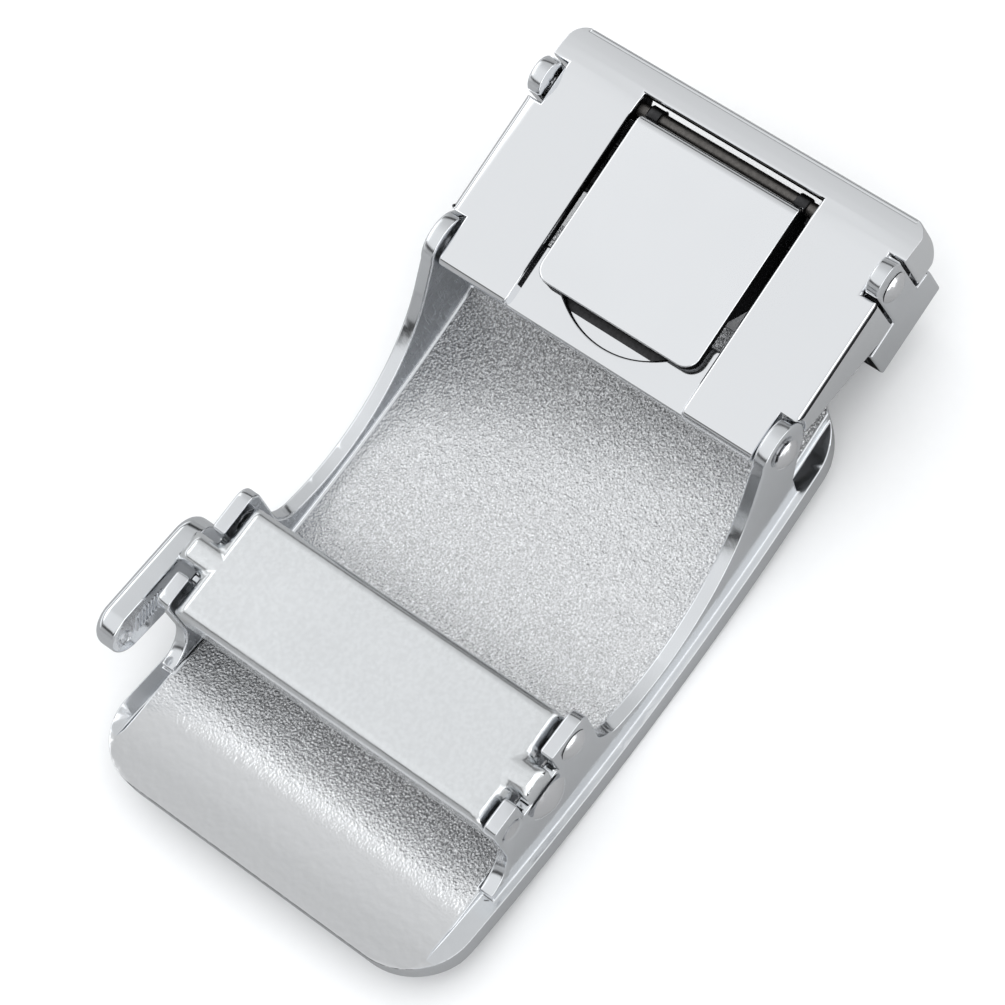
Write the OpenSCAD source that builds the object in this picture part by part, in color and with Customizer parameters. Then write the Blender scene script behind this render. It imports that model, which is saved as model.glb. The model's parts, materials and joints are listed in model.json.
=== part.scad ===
// Ratchet belt buckle for a 35 mm strap, lying on its face plate.
// Frame: X runs along the buckle towards the strap clamp, Y across it, Z up from the front face to the wearer's side.
// The origin is under the middle of the plate, at the height of the lowest line of its bowed front face.
// The strap clamp is drawn in its own frame (u along it, y across it, v up from its pivot) and then placed.

/* [Face plate] */
// length of the face plate
plate_length = 64.6; // [56:0.2:72]
// width of the face plate
plate_width = 39.7; // [38.8:0.1:46]
// corner radius of the face plate
corner_radius = 6.3; // [3:0.1:9]
// radius of the bow of the front face
bow_radius = 125; // [90:1:400]
// where along the buckle the bowed face is lowest
bow_x = 0.7; // [-4:0.1:6]
// height of the plate's rim over the front face
rim_height = 2.85; // [2:0.05:3.4]
// height of the strap's floor over the front face
floor_height = 3.9; // [3.5:0.05:4.2]
// bevel of the front face along the long edges
face_bevel = 0.35; // [0.2:0.05:1]

/* [Side walls] */
// clear width between the side walls
inner_width = 35.5; // [33:0.5:40]
// thickness of a side wall
wall_thick = 1.4; // [1:0.1:2]
// height of the lugs
lug_top = 15.55; // [14.8:0.05:17]
// rear end of the rear lugs
lug_rear_x = -18.5; // [-20.5:0.1:-17.5]
// front end of the front lugs
lug_front_x = -5.3; // [-6.5:0.1:-3.5]
// width of the notch between the lugs
notch_width = 4.7; // [3.5:0.1:6]
// height of the bottom of the notch
notch_floor = 12.4; // [12:0.1:13.5]
// distance of the ears from the middle of the plate
ear_x = 23.35; // [20:0.05:26]
// height of the clamp pivot
ear_z = 14.8; // [13:0.1:16]
// radius of the ears
ear_radius = 2.95; // [2.4:0.05:3.4]
// lowest height of the arched edge between lugs and ears
arch_low = 5.1; // [4.8:0.05:6]
// radius of the arched edge
arch_radius = 19.4; // [17:0.1:22]

/* [Release bar and lever] */
// distance of the bar's pivot from the middle of the plate, towards the rear
bar_x = -12.4; // [-13:0.1:-11.8]
// height of the bar's pivot
bar_z = 10.6; // [10:0.1:11]
// radius of the pivot pin
pivot_pin_radius = 1.1; // [0.8:0.05:1.4]
// height of the bar's flat top
bar_top = 15.85; // [15.5:0.05:16.5]
// rear edge of the bar
bar_rear_x = -18.3; // [-19:0.1:-17.6]
// front edge of the bar
bar_front_x = -6.4; // [-7:0.1:-5.6]
// bevel across the bar's two ends
bar_end_bevel = 0.95; // [0.5:0.05:1.3]
// thickness of the bar's shell
bar_shell = 1.4; // [1:0.1:2]
// gap between the side wall and the lever
lever_gap = 1.35; // [0.4:0.05:2]
// thickness of the lever
lever_thick = 2.55; // [2:0.05:4]
// radius of the lever's head
lever_head_radius = 3.1; // [2.8:0.1:4]
// radius of the lever's finger end
lever_tip_radius = 2.65; // [2:0.05:3.5]
// reach of the lever from the pivot
lever_reach = 8.9; // [7:0.1:12]

/* [Strap clamp] */
// tilt of the clamp in the stored pose
clamp_tilt = 10; // [0:0.5:20]
// far end of the cover, from the pivot
cover_far = 23.3; // [20:0.1:27]
// near end of the cover, from the pivot
cover_near = -2.2; // [-3:0.1:-1.5]
// height of the cover's top over the pivot
cover_top = 1.9; // [1.4:0.05:2.4]
// thickness of the cover's sheet
sheet = 1.3; // [1:0.05:1.6]
// width over the flanges
cover_width = 38.5; // [36:0.5:42]
// thickness of a flange
flange_thick = 1.45; // [1:0.05:1.8]
// depth of the flanges' lower edge under the pivot
flange_depth = 5.3; // [4:0.1:7]
// half-width of the opening in the cover
opening_half = 9.75; // [8:0.05:12]
// far end of the opening
opening_far = 20.45; // [19:0.05:21]
// half-width of the locking flap
flap_half = 8.75; // [7:0.05:11]
// near edge of the locking flap
flap_near = 1.35; // [0.5:0.05:3]
// height of the flap's top over the pivot
flap_top = 2.35; // [2:0.05:3]
// distance of the flap's hinge pin from the clamp pivot
flap_pin_u = 19.3; // [18:0.05:20]
// near end of the jaw
jaw_near = 11.6; // [10:0.1:14]
// far end of the jaw
jaw_far = 20.9; // [19:0.1:22]
// depth of the jaw's underside under the pivot
jaw_depth = 11.2; // [9:0.1:13]
// thickness of the jaw's floor
jaw_floor = 1.8; // [1.2:0.1:2.4]
// middle of the jaw's ears
jaw_ear_u = 17.15; // [16:0.05:18]

/* [Rivets] */
// radius of the domed rivet heads
rivet_head_radius = 1.55; // [1.2:0.05:2]
// height of the domed rivet heads
rivet_head_height = 0.65; // [0.4:0.05:1]
// radius of the ear rivets' shanks
ear_rivet_radius = 1.0; // [0.8:0.05:1.2]

/* [Hidden] */
$fn = 64;
chrome = [0.80, 0.81, 0.83];
bright_chrome = [0.84, 0.85, 0.87];
dark_chrome = [0.70, 0.71, 0.73];

running = 0.05;      // radial clearance of a pin that turns
snug = 0.02;         // radial clearance of a pin that doesn't
gap = 0.3;           // gap between pieces that move apart
bow_fn = 360;        // sides of the bowed surfaces
arc_fn = 128;        // sides of the large arcs
inner_half = inner_width / 2;
wall_out = inner_half + wall_thick;
floor_half = inner_half + 0.2;
cross = 0.02;        // rounds that run into each other cross by this much
floor_radius = bow_radius - floor_height;
rim_radius = bow_radius - rim_height;
ramp_x = lug_rear_x + 1.5;       // from here the floor runs straight back to the rim
arch_end = 54;       // slope at which the arch meets the ear
arch_cz = arch_low + arch_radius;
arch_cx = ear_x - (arch_radius + ear_radius - 0.2 - (arch_cz - ear_z) * cos(arch_end)) / sin(arch_end);
heel_radius = 3.2;   // fillet between the arch and the front lug
heel_cx = lug_front_x + heel_radius;
heel_cz = arch_cz - sqrt(pow(arch_radius - heel_radius + cross, 2) - pow(arch_cx - heel_cx, 2));
heel_angle = atan2(heel_cz - arch_cz, heel_cx - arch_cx);
notch_front = bar_x + notch_width / 2 - 0.25;
notch_rear = notch_front - notch_width;
front_lug_x = (notch_front + lug_front_x) / 2;
front_lug_z = lug_top - 2.25;
rear_lug_x = (notch_rear + lug_rear_x) / 2;
rear_lug_z = lug_top - 2.95;
lug_rivet_radius = 0.95;
lug_pin_radius = 1.0;
lug_pin_slack = 0.06;
bar_half = inner_half - gap - 0.05;
bar_boss_radius = pivot_pin_radius + 0.5;
pin_head_radius = 2 * pivot_pin_radius;
pin_head_height = 0.68 * pivot_pin_radius;
bar_skirt = bar_z + 0.4;         // lower edge of the bar's flanges
tooth_z = bar_z - 1.5;
lever_in = wall_out + lever_gap;
lever_rise = 1.7;    // the finger end stands this much higher than the head
nose_radius = 14;    // the cover's far part curves down
nose_u = 17.6;
cover_half = cover_width / 2;
narrow_half = inner_half - gap;
ear_clear = ear_radius + 0.25;
strip_top = 0.95;    // the sunk strip in front of the flap
strip_far = 4.5;
rib_out = opening_half + 1.45;   // outside of the ribs that hold the flap pin
flap_pin_v = 0.1;
flap_pin_radius = 0.75;
jaw_rivet_v = 0.4;
cover_corner = 1.8;  // rounding of the cover's far corners
flap_sheet = 1.1;    // thickness of the flap
deep = 8;            // cuts from above and below reach at least this far
jaw_rivet_radius = 0.9;
jaw_in = cover_half - flange_thick;
neck_near = jaw_ear_u - 1.85;    // the jaw's neck in the flange's notch
neck_far = jaw_ear_u + 1.85;
thumb_radius = 8.75;
thumb_reach = 2;     // how far the thumb recess shows past the flap
under = 0.3;         // gap between the flanges' lower edge and the jaw

// a flat profile in X and Z, made solid from y0 to y1
module slab(y0, y1) {
    translate([0, y1, 0]) rotate([90, 0, 0]) linear_extrude(height = y1 - y0) children();
}

// a copy on each side of the buckle's middle plane
module both_sides() {
    children();
    mirror([0, 1, 0]) children();
}

// a round bar along Y from y0 to y1
module pin_y(x, z, r, y0, y1) {
    translate([x, y1, z]) rotate([90, 0, 0]) cylinder(r = r, h = y1 - y0);
}

// a domed head standing out along +Y from y0
module dome_y(x, z, r, h, y0) {
    ball = (r * r + h * h) / (2 * h);
    translate([x, y0, z]) rotate([-90, 0, 0]) intersection() {
        translate([0, 0, h - ball]) sphere(r = ball, $fn = 96);
        cylinder(r = r, h = h + 1);
    }
}

// what is trimmed off an outside corner to round it; sx and sz point outwards
module corner_trim(x, z, r, sx, sz) {
    translate([x, z]) scale([sx, sz]) translate([-r, -r]) difference() {
        square(r + 1);
        circle(r = r);
    }
}

module rounded_plate(l, w, r) {
    difference() {
        square([l, w], center = true);
        for (sx = [-1, 1], sy = [-1, 1]) corner_trim(sx * l / 2, sy * w / 2, r, sx, sy);
    }
}

// a drum about the bow's axis
module bow_drum(r, w) {
    translate([bow_x, w / 2, bow_radius]) rotate([90, 0, 0]) cylinder(r = r, h = w, $fn = bow_fn);
}

// a ring about the bow's axis with the given section of radius and width
module bow_ring(points) {
    translate([bow_x, 0, bow_radius]) rotate([90, 0, 0]) rotate_extrude($fn = bow_fn) polygon(points);
}

// the bowed face plate, bevelled along its long edges, with the raised floor that the strap slides over;
// behind the bar that floor runs out flat into the rim
module face_plate() {
    h = plate_width / 2;
    ramp_angle = asin((bow_x - ramp_x) / floor_radius);
    ramp_fall = 1.7;     // the ramp leans this much less than the bow where it starts
    intersection() {
        linear_extrude(height = 20) rounded_plate(plate_length, plate_width, corner_radius);
        union() {
            bow_ring([[rim_radius, -h], [bow_radius - face_bevel, -h], [bow_radius, face_bevel - h],
                [bow_radius, h - face_bevel], [bow_radius - face_bevel, h], [rim_radius, h]]);
            difference() {
                bow_ring([[floor_radius, -floor_half], [rim_radius + 1, -floor_half],
                    [rim_radius + 1, floor_half], [floor_radius, floor_half]]);
                translate([ramp_x, -plate_width, bow_radius - floor_radius * cos(ramp_angle)])
                    rotate([0, ramp_angle - ramp_fall, 0]) translate([-plate_length, 0, 0])
                        cube([plate_length + 2, 2 * plate_width, 20]);
            }
        }
    }
}

function floor_z(x) = bow_radius - sqrt(floor_radius * floor_radius - (x - bow_x) * (x - bow_x));

// side view of a wall: rear lugs, long arch and ear
module wall_profile() {
    foot = 3.3;
    foot_z = floor_z(lug_rear_x - foot) + foot + 0.15;
    reach = arch_radius - cross;
    arch_tip = [arch_cx + reach * sin(arch_end), arch_cz - reach * cos(arch_end)];
    difference() {
        union() {
            translate([lug_rear_x, 0]) square([lug_front_x - lug_rear_x, lug_top]);
            translate([lug_rear_x - foot, 0]) square([foot + 0.1, foot_z]);
        }
        translate([lug_rear_x - foot, foot_z]) circle(r = foot + cross);
        corner_trim(lug_rear_x, lug_top, 0.9, -1, 1);
        corner_trim(lug_front_x, lug_top, 1.4, 1, 1);
    }
    difference() {
        polygon([[lug_front_x - 0.5, 0], [lug_front_x - 0.5, heel_cz], [lug_front_x + 1, heel_cz + 2],
            [ear_x - 1.8, ear_z + 2.2], [ear_x, ear_z + 2.2], [ear_x, ear_z], [ear_x + 2.7, ear_z - 1.2],
            [ear_x + 0.15, ear_z - 6.5], [ear_x + 0.15, 0]]);
        intersection() {
            translate([arch_cx, arch_cz]) circle(r = arch_radius, $fn = arc_fn);
            polygon([[arch_cx, arch_cz],
                [arch_cx + 40 * cos(heel_angle), arch_cz + 40 * sin(heel_angle)],
                [arch_cx, arch_cz - 40],
                [arch_cx + 40 * sin(arch_end + 15), arch_cz - 40 * cos(arch_end + 15)]]);
        }
        translate([heel_cx, heel_cz]) circle(r = heel_radius);
        polygon([[lug_front_x, heel_cz], [heel_cx, heel_cz - heel_radius / 2], [arch_cx, arch_cz], arch_tip,
            [arch_tip[0] + 25 * cos(arch_end), arch_tip[1] + 25 * sin(arch_end)], [lug_front_x, 40]]);
    }
    translate([ear_x, ear_z]) circle(r = ear_radius);
}

module body() {
    color(chrome) difference() {
        union() {
            face_plate();
            intersection() {
                both_sides() slab(inner_half, wall_out) wall_profile();
                bow_drum(bow_radius - 1, plate_width);
            }
        }
        translate([notch_rear, -plate_width / 2 - 1, notch_floor])
            cube([notch_width, plate_width + 2, 10]);
        pin_y(bar_x, bar_z, pivot_pin_radius + running, -plate_width, plate_width);
        pin_y(ear_x, ear_z, ear_rivet_radius + running, -plate_width, plate_width);
        pin_y(front_lug_x, front_lug_z, lug_rivet_radius + snug, -plate_width, plate_width);
        pin_y(rear_lug_x, rear_lug_z, lug_pin_radius + lug_pin_slack, -plate_width, plate_width);
    }
}

// section of the release bar: an open channel with the ratchet edge under its front side
module bar_section() {
    difference() {
        translate([bar_rear_x, bar_skirt]) square([bar_front_x - bar_rear_x, bar_top - bar_skirt]);
        translate([bar_rear_x + bar_shell, 0])
            square([bar_front_x - bar_rear_x - 2 * bar_shell, bar_top - bar_shell]);
        corner_trim(bar_rear_x, bar_top, 1.1, -1, 1);
        corner_trim(bar_front_x, bar_top, 1.1, 1, 1);
    }
    polygon([[bar_front_x, bar_skirt + 0.2], [bar_front_x - bar_shell, bar_skirt + 0.2],
        [bar_front_x - bar_shell - 0.8, tooth_z + 1],
        [bar_front_x - bar_shell - 0.3, tooth_z], [bar_front_x - 0.9, tooth_z + 0.5], [bar_front_x, tooth_z + 1.1]]);
}

// a tab of the bar that stands through the notch in the wall, out to y
module bar_tab(y) {
    x = bar_x;
    difference() {
        slab(bar_half - 1.6, y) polygon([[x - 1.75, notch_floor + 0.5], [x - 1.75, bar_top - 0.85],
            [x - 1.15, bar_top], [x + 0.55, bar_top], [x + 1.35, bar_top - 0.85], [x + 1.35, notch_floor + 0.5]]);
        translate([x - 3, y - 0.9, bar_top]) rotate([-52, 0, 0]) cube([6, 3, 3]);
    }
}

module release_bar() {
    color(bright_chrome) difference() {
        union() {
            difference() {
                slab(-bar_half, bar_half) bar_section();
                both_sides() translate([bar_rear_x - 1, bar_half - bar_end_bevel, bar_top]) rotate([-50, 0, 0])
                    cube([bar_front_x - bar_rear_x + 2, 3, 3]);
            }
            both_sides() {
                slab(bar_half - 1.4, bar_half) {
                    translate([bar_rear_x + bar_shell - 0.1, bar_skirt + 0.4])
                        square([bar_front_x - bar_rear_x - 2 * bar_shell + 0.2, bar_top - bar_shell - bar_skirt - 0.3]);
                    translate([bar_x, bar_z]) circle(r = bar_boss_radius);
                    translate([bar_x - bar_boss_radius, bar_z]) square([2 * bar_boss_radius, 2]);
                }
            }
            bar_tab(lever_in - 0.05);
            mirror([0, 1, 0]) bar_tab(wall_out + 0.15);
        }
        pin_y(bar_x, bar_z, pivot_pin_radius + snug, -plate_width, plate_width);
    }
}

module bar_pivot_pin() {
    color(bright_chrome) {
        pin_y(bar_x, bar_z, pivot_pin_radius, -wall_out - 0.4, lever_in + lever_thick - 0.15);
        mirror([0, 1, 0]) dome_y(bar_x, bar_z, pin_head_radius, pin_head_height, wall_out + gap);
    }
}

// side view of the lever: two rounds joined by their outer tangents
module lever_profile() {
    reach = sqrt(lever_reach * lever_reach + lever_rise * lever_rise);
    lean = atan2(lever_rise, lever_reach);
    t = asin((lever_head_radius - lever_tip_radius) / reach);
    head_join = lever_head_radius * sin(t);
    tip_join = reach + lever_tip_radius * sin(t);
    head_half = lever_head_radius * cos(t) - cross;
    tall = lever_head_radius + 3;
    translate([bar_x, bar_z]) rotate(180 - lean) difference() {
        polygon([[-tall, head_half + (tall + head_join) * tan(t)],
            [reach + tall, head_half - (reach + tall - head_join) * tan(t)],
            [reach + tall, -head_half + (reach + tall - head_join) * tan(t)],
            [-tall, -head_half - (tall + head_join) * tan(t)]]);
        difference() {
            translate([-tall - 1, -tall]) square([tall + 1 + head_join, 2 * tall]);
            circle(r = lever_head_radius);
        }
        difference() {
            translate([tip_join, -tall]) square([tall + 1, 2 * tall]);
            translate([reach, 0]) circle(r = lever_tip_radius);
        }
    }
}

module release_lever() {
    color(chrome) difference() {
        slab(lever_in, lever_in + lever_thick) lever_profile();
        pin_y(bar_x, bar_z, pivot_pin_radius + snug, 0, plate_width);
    }
}

module lug_rivet() {
    pin_y(front_lug_x, front_lug_z, lug_rivet_radius, inner_half, wall_out + 0.1);
    dome_y(front_lug_x, front_lug_z, rivet_head_radius, rivet_head_height, wall_out + 0.05);
}

module lug_rivet_left() { color(bright_chrome) lug_rivet(); }

module lug_rivet_right() { color(bright_chrome) mirror([0, 1, 0]) lug_rivet(); }

module lug_pin() { pin_y(rear_lug_x, rear_lug_z, lug_pin_radius, inner_half, wall_out); }

module lug_pin_left() { color(dark_chrome) lug_pin(); }

module lug_pin_right() { color(dark_chrome) mirror([0, 1, 0]) lug_pin(); }

// places what is drawn in the clamp's own frame
module on_clamp() {
    translate([ear_x, 0, ear_z]) rotate([0, -clamp_tilt, 0]) children();
}

// the space under the cover's outer surface, seen from the side
module under_cover_top() {
    translate([cover_near, -20]) square([nose_u - cover_near, 20 + cover_top]);
    intersection() {
        translate([nose_u, cover_top - nose_radius]) circle(r = nose_radius, $fn = arc_fn);
        translate([nose_u - 0.1, -8]) square([cover_far - nose_u + 0.1, 12]);
    }
}

// section of the cover's sheet with its rounded near edge and its far lip
module sheet_section() {
    difference() {
        under_cover_top();
        translate([cover_near + sheet, -20]) square([nose_u - cover_near - sheet, 20 + cover_top - sheet]);
        intersection() {
            translate([nose_u, cover_top - nose_radius]) circle(r = nose_radius - sheet, $fn = arc_fn);
            translate([nose_u - 0.1, -8]) square([cover_far - nose_u - 1.1, 12]);
        }
        translate([cover_near - 1, -21]) square([8, 21 - 1.6]);
        translate([nose_u, -21]) square([8, 21 - 1.2]);
        corner_trim(cover_near, cover_top, 0.9, -1, 1);
        corner_trim(cover_far, 0.66, 0.4, 1, 1);
    }
}

// keeps the part of a section that ends inside the cover's sheet
module below_sheet() {
    intersection() {
        union() children();
        translate([cover_near + 0.1, -deep]) square([cover_far - cover_near, deep + cover_top - sheet / 2]);
    }
}

module flange_section() {
    intersection() {
        under_cover_top();
        polygon([[cover_near, 3], [cover_far, 3], [cover_far, 2 - flange_depth], [cover_far - 1.8, -flange_depth],
            [13.2, -flange_depth], [3, -1.7], [cover_near, -1.7]]);
    }
}

module clamp_cover() {
    color(bright_chrome) on_clamp() difference() {
        union() {
            difference() {
                slab(-cover_half, cover_half) sheet_section();
                translate([cover_near - 1, -opening_half, -5]) cube([opening_far + 1 - cover_near, 2 * opening_half, 10]);
            }
            // strip in front of the flap, with its near lip
            translate([cover_near + 0.02, -rib_out, -0.4]) cube([strip_far - cover_near, 2 * rib_out, strip_top + 0.4]);
            translate([cover_near + 0.02, -rib_out, -1.6]) cube([sheet, 2 * rib_out, 2]);
            both_sides() {
                slab(jaw_in, cover_half) flange_section();
                // inner cheeks on the ear rivets
                slab(narrow_half - 1.5, narrow_half) below_sheet() {
                    circle(r = 2.2);
                    translate([cover_near, 0]) square([4.9, cover_top]);
                }
                // inner lugs on the jaw rivets
                slab(jaw_in - 1.9, jaw_in - under) below_sheet() {
                    translate([jaw_ear_u, jaw_rivet_v]) circle(r = 1.9);
                    translate([jaw_ear_u - 1.9, jaw_rivet_v]) square([3.8, cover_top]);
                }
                // ribs that hold the flap pin
                slab(opening_half, rib_out) below_sheet() {
                    translate([flap_pin_u, flap_pin_v]) circle(r = 1.8);
                    translate([flap_pin_u - 1.8, flap_pin_v]) square([3.6, cover_top]);
                }
            }
        }
        both_sides() {
            // the ears' notches and the jaw's notches
            pin_y(0, 0, ear_clear, narrow_half, plate_width);
            translate([cover_near - 1, narrow_half, -8]) cube([1 - cover_near + ear_clear / 2, 5, 16]);
            translate([neck_near - gap, jaw_in - 0.2, -8]) cube([neck_far - neck_near + 2 * gap, 5, 16]);
            pin_y(jaw_ear_u, jaw_rivet_v, jaw_rivet_radius + snug, 0, plate_width);
            pin_y(0, 0, ear_rivet_radius + snug, 12, plate_width);
        }
        pin_y(flap_pin_u, flap_pin_v, flap_pin_radius + snug, -rib_out + 0.4, rib_out - 0.4);
        // round thumb recess
        translate([flap_near - thumb_reach + thumb_radius, 0, strip_top - 0.65])
            cylinder(r = thumb_radius, h = 1, $fn = arc_fn);
        // rounded far corners
        both_sides() translate([cover_far - cover_corner, cover_half - cover_corner, -deep]) difference() {
            cube([cover_corner + 1, cover_corner + 1, 2 * deep]);
            translate([0, 0, -1]) cylinder(r = cover_corner, h = 2 * deep + 2);
        }
    }
}

module clamp_flap() {
    tip_round = 1.5;
    color(bright_chrome) on_clamp() difference() {
        union() {
            difference() {
                slab(-flap_half, flap_half) difference() {
                    translate([flap_near, flap_top - flap_sheet]) square([flap_pin_u - 0.55 - flap_near, flap_sheet]);
                    corner_trim(flap_pin_u - 0.55, flap_top, 1.0, 1, 1);
                }
                both_sides() translate([flap_near + tip_round, flap_half - tip_round, 0]) difference() {
                    translate([-tip_round - 1, 0, 0]) cube([tip_round + 1, tip_round + 1, flap_top + 1]);
                    cylinder(r = tip_round, h = flap_top + 1);
                }
            }
            both_sides() slab(flap_half - 1.3, flap_half) translate([flap_pin_u, flap_pin_v]) {
                circle(r = flap_pin_radius + 0.2);
                polygon([[-12.5, 1.3], [-10.3, -1.7], [0, -flap_pin_radius - 0.18], [0, flap_pin_radius + 0.18],
                    [-0.9, 1.3]]);
            }
            // biting cam under the hinge end
            slab(1.2 - flap_half, flap_half - 1.2) translate([flap_pin_u, flap_pin_v]) polygon([
                [-4.3, 1.3], [-1.2, 1.3], [-1.2, -1.15], [0.9, -1.3], [1.0, -2.7], [0.1, -3.3], [0.3, -4.1],
                [-0.6, -4.4], [-0.6, -5.1], [-1.7, -4.9], [-3.7, -1.6]]);
        }
        pin_y(flap_pin_u, flap_pin_v, flap_pin_radius + running, -plate_width, plate_width);
    }
}

module flap_pin() {
    color(dark_chrome) on_clamp() pin_y(flap_pin_u, flap_pin_v, flap_pin_radius, -rib_out + 0.5, rib_out - 0.5);
}

// side plate of the jaw: ear, neck in the flange's notch, and the part below the flange
module jaw_profile() {
    ear_r = (neck_far - neck_near) / 2;
    translate([jaw_ear_u, 1.9]) circle(r = ear_r);
    translate([neck_near, -flange_depth - under - 0.5]) square([neck_far - neck_near, flange_depth + 2.4 + under + 0.5]);
    difference() {
        translate([jaw_near, -jaw_depth]) square([jaw_far - jaw_near, jaw_depth - flange_depth - under]);
        corner_trim(jaw_far, -flange_depth - under, 0.8, 1, 1);
    }
}

module clamp_jaw() {
    color(chrome) on_clamp() difference() {
        union() {
            both_sides() slab(jaw_in, cover_half) jaw_profile();
            translate([jaw_near, -cover_half, -jaw_depth]) cube([jaw_far - jaw_near, cover_width, jaw_floor]);
            // teeth on the floor
            for (i = [0:2]) slab(-15.5, 15.5) translate([13.2 + 2.6 * i, jaw_floor - jaw_depth])
                polygon([[-0.9, -0.1], [0.9, -0.1], [0.5, 0.75]]);
        }
        both_sides() {
            pin_y(jaw_ear_u, jaw_rivet_v, jaw_rivet_radius + snug, 12, plate_width);
            // bevel along the lower outer edge
            translate([jaw_near - 1, cover_half - 0.7, -jaw_depth]) rotate([-45, 0, 0])
                translate([0, 0, -3]) cube([jaw_far - jaw_near + 2, 3, 3]);
        }
    }
}

module jaw_rivet() {
    on_clamp() {
        pin_y(jaw_ear_u, jaw_rivet_v, jaw_rivet_radius, jaw_in - 1.9, cover_half + 0.1);
        dome_y(jaw_ear_u, jaw_rivet_v, rivet_head_radius, rivet_head_height, cover_half + 0.05);
    }
}

module jaw_rivet_left() { color(bright_chrome) jaw_rivet(); }

module jaw_rivet_right() { color(bright_chrome) mirror([0, 1, 0]) jaw_rivet(); }

module ear_rivet() {
    on_clamp() {
        pin_y(0, 0, ear_rivet_radius, narrow_half - 1.5, wall_out + 0.35);
        dome_y(0, 0, rivet_head_radius, rivet_head_height, wall_out + 0.3);
    }
}

module ear_rivet_left() { color(bright_chrome) ear_rivet(); }

module ear_rivet_right() { color(bright_chrome) mirror([0, 1, 0]) ear_rivet(); }

body();
release_bar();
bar_pivot_pin();
release_lever();
lug_rivet_left();
lug_rivet_right();
lug_pin_left();
lug_pin_right();
clamp_cover();
clamp_flap();
flap_pin();
clamp_jaw();
jaw_rivet_left();
jaw_rivet_right();
ear_rivet_left();
ear_rivet_right();
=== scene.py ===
"""A ratchet belt buckle in plated metal, lying on its face: its pieces, their finishes and the studio."""

import json
import math

import bmesh
import bpy
from mathutils import Matrix, Vector


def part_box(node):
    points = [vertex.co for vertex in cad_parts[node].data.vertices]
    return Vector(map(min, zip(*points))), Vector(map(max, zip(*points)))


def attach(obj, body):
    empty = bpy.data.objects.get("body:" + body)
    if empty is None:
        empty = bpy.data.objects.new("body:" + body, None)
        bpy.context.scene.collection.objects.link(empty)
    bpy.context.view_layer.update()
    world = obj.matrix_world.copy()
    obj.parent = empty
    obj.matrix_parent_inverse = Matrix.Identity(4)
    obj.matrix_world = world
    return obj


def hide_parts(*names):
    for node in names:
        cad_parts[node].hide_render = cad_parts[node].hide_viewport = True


bl_info = {
    "name": "Ratchet belt buckle",
    "version": (1, 0, 0),
    "blender": (4, 5, 0),
    "location": "View3D > Sidebar > Buckle",
    "description": "Builds the plated pieces of a ratchet belt buckle round its packed solids",
    "category": "Object",
}

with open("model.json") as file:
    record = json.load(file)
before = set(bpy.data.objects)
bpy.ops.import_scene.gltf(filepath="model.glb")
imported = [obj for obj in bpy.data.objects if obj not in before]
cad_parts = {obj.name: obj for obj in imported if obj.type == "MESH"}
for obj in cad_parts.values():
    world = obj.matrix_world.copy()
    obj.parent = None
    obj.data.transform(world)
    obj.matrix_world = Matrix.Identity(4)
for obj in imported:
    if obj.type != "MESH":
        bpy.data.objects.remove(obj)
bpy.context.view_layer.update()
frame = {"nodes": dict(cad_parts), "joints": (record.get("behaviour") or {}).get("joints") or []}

MM = 0.001

# Limits for meshes: turns between faces, and distances
SHARP_TURN = math.radians(27)    # edges that turn more than this are rounded
SMOOTH_TURN = math.radians(32)   # edges that turn less than this shade smoothly
FLAT_TURN = math.radians(0.35)   # faces that turn less than this are one flat face
RUN_ON = -0.85                   # two edges run on from each other when their ways' product is below this
MERGE = 0.002 * MM               # corners nearer than this are one
SAME_WIDTH = 0.001 * MM          # widths nearer than this are equal
LEAST_ROUND = 0.03 * MM          # a narrower rounding is left out


# Places that the frame gives

def pivot_of(name):
    """Where a joint of the frame turns, in metres."""
    for joint in frame["joints"]:
        if joint["name"] == name:
            return Vector(joint["pos_m"])
    raise RuntimeError("the frame has no joint named " + name)


BAR_PIVOT = pivot_of("bar_release")
CLAMP_PIVOT = pivot_of("clamp_swing")
BAR_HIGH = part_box("release_bar")[1]
LEVER_LOW, LEVER_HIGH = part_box("release_lever")

# Sizes of the solids that their boxes don't give
WALL_INSIDE = 17.75 * MM         # from the middle to the inner face of a side wall
FLOOR_REACH = 9 * MM             # the whole floor lies below this height
LUG_START = 11 * MM              # above this height the body is only lugs and ears
CLAMP_TILT = math.radians(10)    # lean of the clamp at rest
BOW_RADIUS = 125 * MM            # bow of the plate's front face
BOW_X = 0.7 * MM                 # where the bow is lowest
RIM_RADIUS = 122.15 * MM         # bow of the plate's rim
FLOOR_RISE = 1.05 * MM           # the floor lies this much above the rim
FLOOR_HALF = 17.97 * MM          # reach of the floor behind the walls, to each side
RAMP_START = -17 * MM            # from here back the floor runs straight down
RAMP_END = -29.7 * MM            # where that run meets the rim
RAMP_SLOPE = 0.11755             # its fall for each metre along
OPENING_HALF = 9.75 * MM         # half the width of the cover's opening
FLAP_NEAR = 1.35 * MM            # the flap's near edge, along the clamp
STRIP_FLOOR = 0.3 * MM           # the bottom of the thumb recess, up from the clamp's pivot

# The clamp's own frame: the turn into it, and the way along the clamp
TO_CLAMP = Matrix.Rotation(CLAMP_TILT, 3, "Y")
CLAMP_WAY = TO_CLAMP.transposed() @ Vector((1, 0, 0))

# The photo's view: the camera and where it looks, in metres, with its turn about its own axis
VIEW_AT = Vector((-0.04809, -0.10880, 0.29150))
VIEW_TARGET = Vector((0.00764, 0.00188, 0.00700))
VIEW_ROLL = math.radians(-27.92)
VIEW_ANGLE = math.radians(16.55)


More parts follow.
